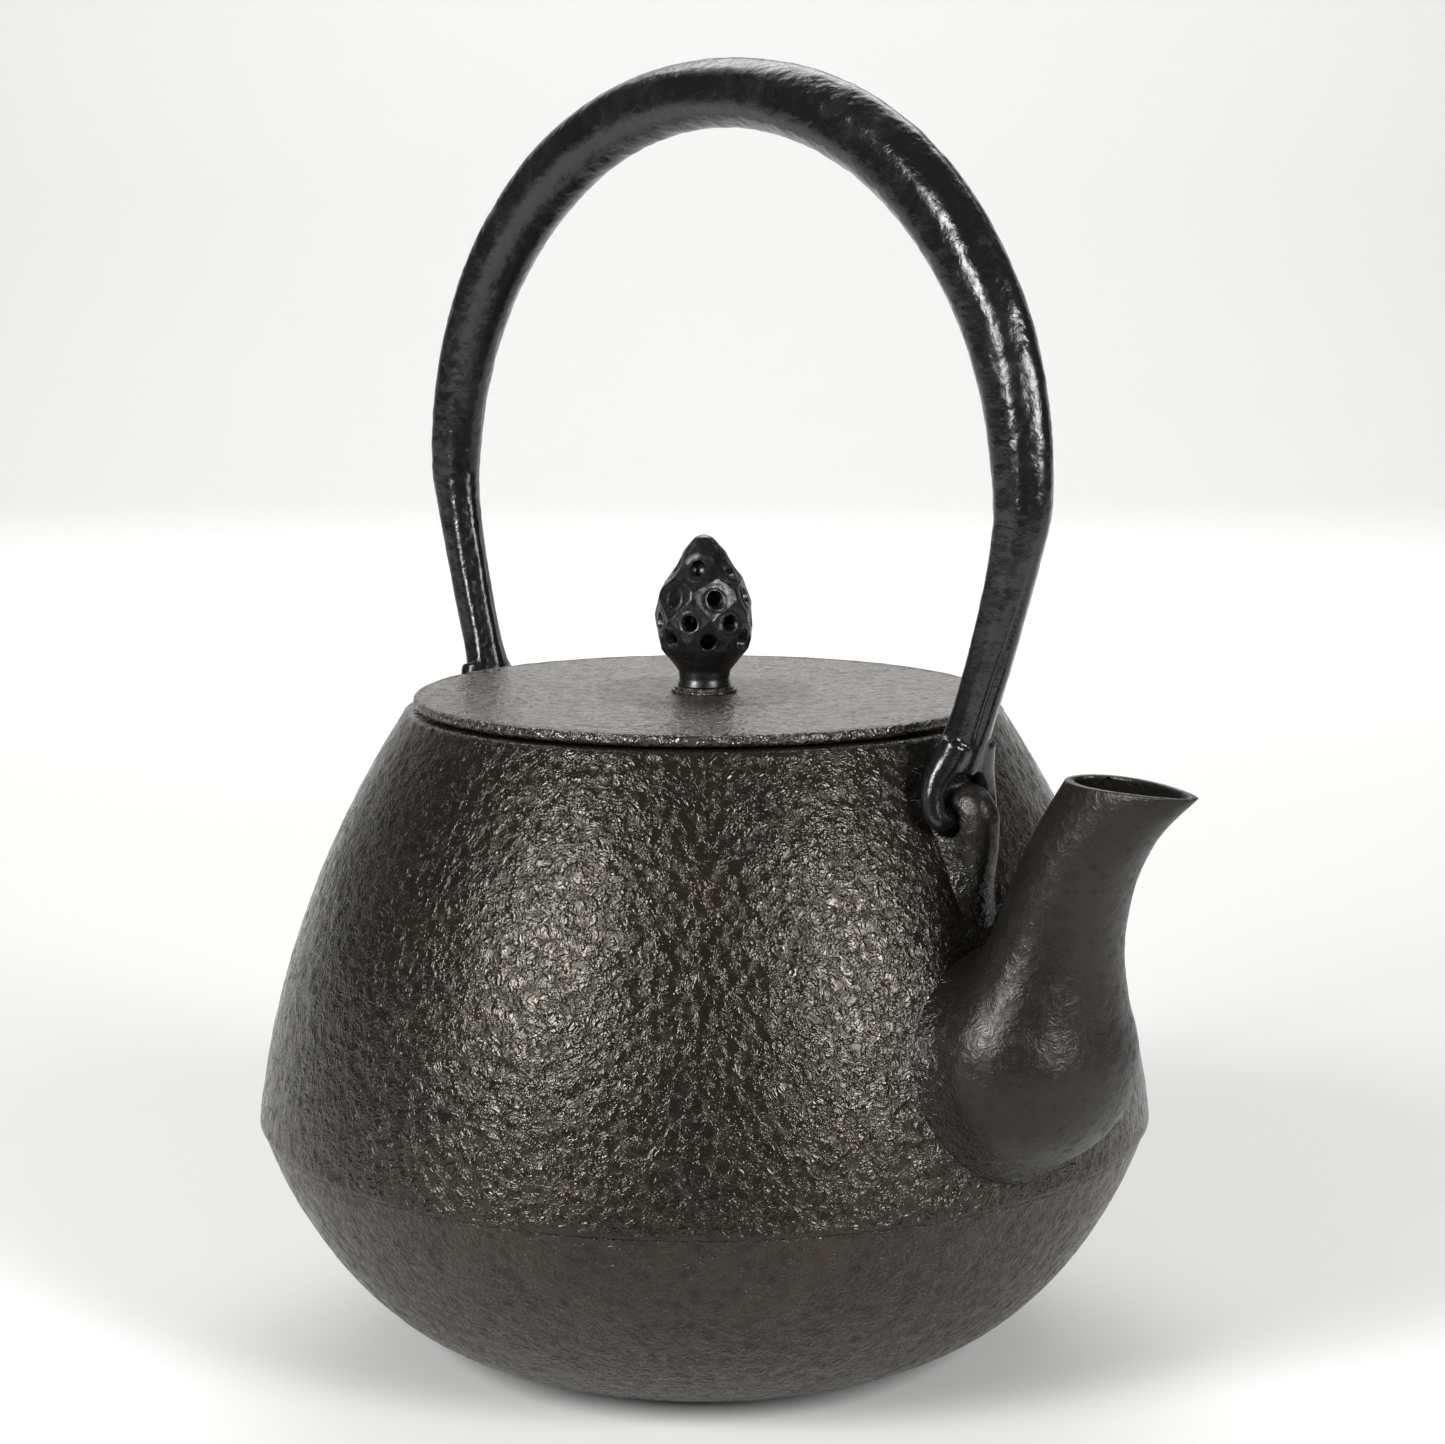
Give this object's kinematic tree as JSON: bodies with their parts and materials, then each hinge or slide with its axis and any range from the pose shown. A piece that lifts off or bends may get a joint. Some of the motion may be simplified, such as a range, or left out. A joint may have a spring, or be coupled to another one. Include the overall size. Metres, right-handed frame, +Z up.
{
  "type": "cast iron teapot with infuser",
  "caption": "Cast-iron teapot with a beak spout, flat lid with a pierced bud knob, loose hollow bail handle and a removable steel infuser basket.",
  "frame": {"origin": "centre of the flat base, on the axis of the body", "axes": "+Z up, +X towards the spout; the bail and the spout lie in the XZ plane"},
  "size_m": [0.2032, 0.1702, 0.2413],
  "materials": {
    "upper_body": "coarse cast skin, black-brown lacquer",
    "lower_body": "finer cast skin, brown-black lacquer",
    "spout_iron": "smooth cast skin, black-brown lacquer",
    "lid_iron": "fine brushed cast skin, brown sheen",
    "knob_iron": "smooth black lacquer",
    "bail_iron": "hammered, semi-gloss black lacquer",
    "stud_iron": "plain steel, dull",
    "basket_steel": "stainless, satin"
  },
  "bodies": {
    "kettle": {"lower_shell": "lower_body", "upper_shell": "upper_body", "spout": "spout_iron", "front_lug": "upper_body", "rear_lug": "upper_body"},
    "lid": {"lid_plate": "lid_iron", "knob_seat": "lid_iron"},
    "knob": {"knob_bud": "knob_iron", "knob_stud": "stud_iron", "stud_washer": "stud_iron"},
    "handle": {"bail_tube": "bail_iron", "front_fork": "bail_iron", "rear_fork": "bail_iron"},
    "infuser": {"infuser_rim": "basket_steel", "infuser_collar": "basket_steel", "infuser_wall": "basket_steel", "infuser_hoop": "basket_steel", "infuser_floor": "basket_steel"}
  },
  "joints": [
    {"name": "lid_lift", "type": "slide", "parent": "kettle", "child": "lid", "axis": [0, 0, 1], "range_m": [0, 0.068]},
    {"name": "infuser_lift", "type": "slide", "parent": "kettle", "child": "infuser", "axis": [0, 0, 1], "range_m": [0, 0.058]},
    {"name": "knob_spin", "type": "hinge", "parent": "lid", "child": "knob", "pos_m": [0, 0, 0.125], "axis": [0, 0, 1], "continuous": true},
    {"name": "handle_tilt", "type": "hinge", "parent": "kettle", "child": "handle", "pos_m": [0, 0, 0.1085], "axis": [1, 0, 0], "range_deg": [-3.5, 6.5]}
  ],
  "couplings": [
    {"joint": "infuser_lift", "follows": "lid_lift", "ratio": 0.85}
  ]
}
